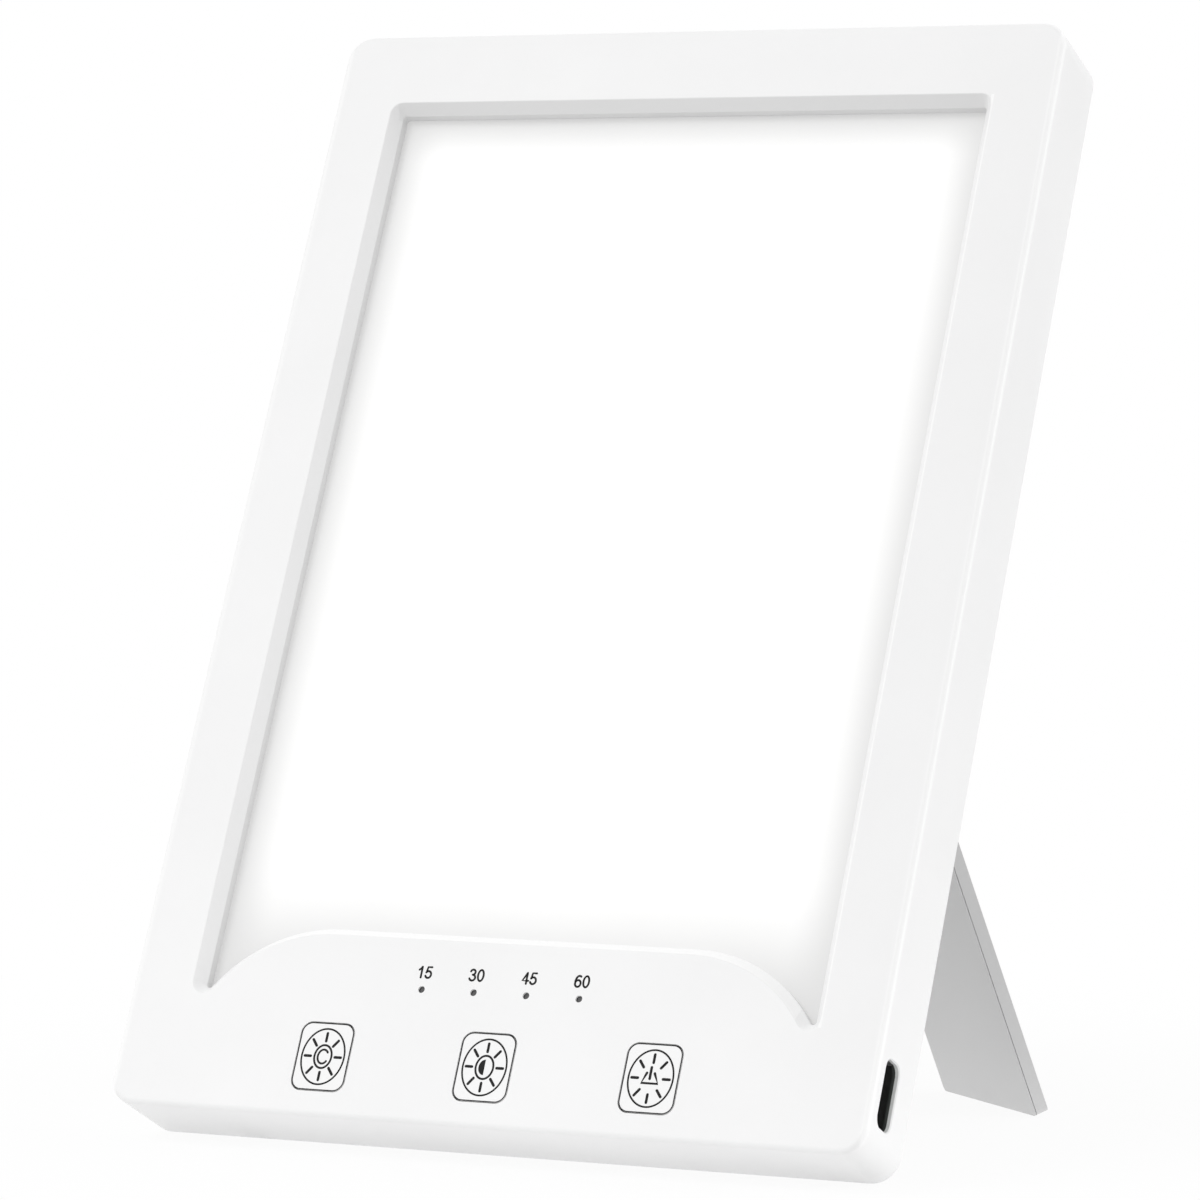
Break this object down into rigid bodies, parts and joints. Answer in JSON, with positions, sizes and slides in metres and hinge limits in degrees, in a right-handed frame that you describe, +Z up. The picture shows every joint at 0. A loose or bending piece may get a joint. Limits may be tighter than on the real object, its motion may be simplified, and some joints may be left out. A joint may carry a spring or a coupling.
{
  "type": "light therapy lamp",
  "caption": "Flat tablet-shaped light therapy lamp: an edge-lit opal panel in a rounded case with touch-size keys below it, leaning back on a fold-out leg.",
  "frame": {"origin": "on the table, in the middle of the footprint of the standing lamp", "axes": "+Z up, -Y towards the viewer in front of the lit panel, +X to the viewer's right"},
  "size_m": [0.161, 0.137, 0.2197],
  "materials": {
    "white_case": "fine satin moulded",
    "white_key": "fine satin moulded",
    "grey_leg": "fine matte moulded",
    "opal_sheet": "opal diffuser, even and matte",
    "clear_sheet": "clear and polished",
    "white_film": "white reflective film",
    "foam": "pale grey foam",
    "spreader": "mill finish sheet",
    "board": "solder mask",
    "cable": "white flexible flat cable",
    "connector": "moulded connector body",
    "light_chip": "phosphor face",
    "black_part": "moulded black",
    "capacitor": "drawn can",
    "steel": "zinc plated",
    "usb_steel": "nickel plated",
    "washer": "natural nylon",
    "smoked": "smoked light pipe"
  },
  "bodies": {
    "case": {"back_cover": "white_case", "board_screws": "steel", "cable_connector_left": "connector", "cable_connector_right": "connector", "controller_chip": "black_part", "cover_screws": "steel", "diffuser_panel": "opal_sheet", "driver_coil": "black_part", "front_case": "white_case", "heat_spreader": "spreader", "hinge_bracket": "steel", "hinge_pin": "steel", "indicator_15": "light_chip", "indicator_30": "light_chip", "indicator_45": "light_chip", "indicator_60": "light_chip", "input_capacitor": "capacitor", "light_bar_left": "spreader", "light_bar_right": "spreader", "light_cable_left": "cable", "light_cable_right": "cable", "light_chips_left": "light_chip", "light_chips_right": "light_chip", "light_guide": "clear_sheet", "light_pipe_15": "smoked", "light_pipe_30": "smoked", "light_pipe_45": "smoked", "light_pipe_60": "smoked", "main_board": "board", "output_capacitor": "capacitor", "panel_gasket": "foam", "prism_film": "clear_sheet", "reflector_sheet": "white_film", "switch_brightness": "black_part", "switch_colour": "black_part", "switch_power": "black_part", "usb_shell": "usb_steel", "usb_tongue": "black_part"},
    "leg": {"stand_leg": "grey_leg", "leg_skin": "grey_leg", "hinge_washer_left": "washer", "hinge_washer_right": "washer"},
    "colour_key": {"key_colour": "white_key", "actuator_colour": "washer"},
    "brightness_key": {"key_brightness": "white_key", "actuator_brightness": "washer"},
    "power_key": {"key_power": "white_key", "actuator_power": "washer"}
  },
  "joints": [
    {"name": "leg_fold", "type": "hinge", "parent": "case", "child": "leg", "pos_m": [0.0176, 0.01854, 0.15036], "axis": [-0.7071, 0.31, 0.6355], "range_deg": [0, 60]},
    {"name": "colour_press", "type": "slide", "parent": "case", "child": "colour_key", "axis": [0, 0.8988, -0.4384], "range_m": [0, 0.0004], "stiffness_N_per_m": 2000, "springref_m": -0.0002},
    {"name": "brightness_press", "type": "slide", "parent": "case", "child": "brightness_key", "axis": [0, 0.8988, -0.4384], "range_m": [0, 0.0004], "stiffness_N_per_m": 2000, "springref_m": -0.0002},
    {"name": "power_press", "type": "slide", "parent": "case", "child": "power_key", "axis": [0, 0.8988, -0.4384], "range_m": [0, 0.0004], "stiffness_N_per_m": 2000, "springref_m": -0.0002}
  ]
}
